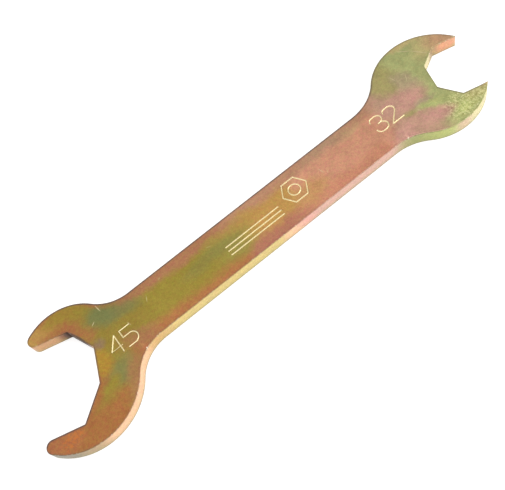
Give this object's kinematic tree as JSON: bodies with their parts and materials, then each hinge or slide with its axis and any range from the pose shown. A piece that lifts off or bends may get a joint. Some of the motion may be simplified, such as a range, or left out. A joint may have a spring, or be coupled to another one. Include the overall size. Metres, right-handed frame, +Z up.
{
  "type": "double open-end spanner",
  "caption": "Flat plate spanner with a large open jaw at one end and a small open jaw at the other, both set at an angle to the handle.",
  "frame": {"origin": "on the underside, on the handle's centre line, half way between the two jaw centres", "axes": "+X along the handle towards the small jaw, +Z up out of the engraved face, +Y across the handle"},
  "size_m": [0.2717, 0.0691, 0.007],
  "materials": {
    "plated_steel": "zinc plate with iridescent yellow chromate, brown-gold, olive and pink"
  },
  "bodies": {
    "root": {"spanner": "plated_steel"}
  },
  "joints": []
}
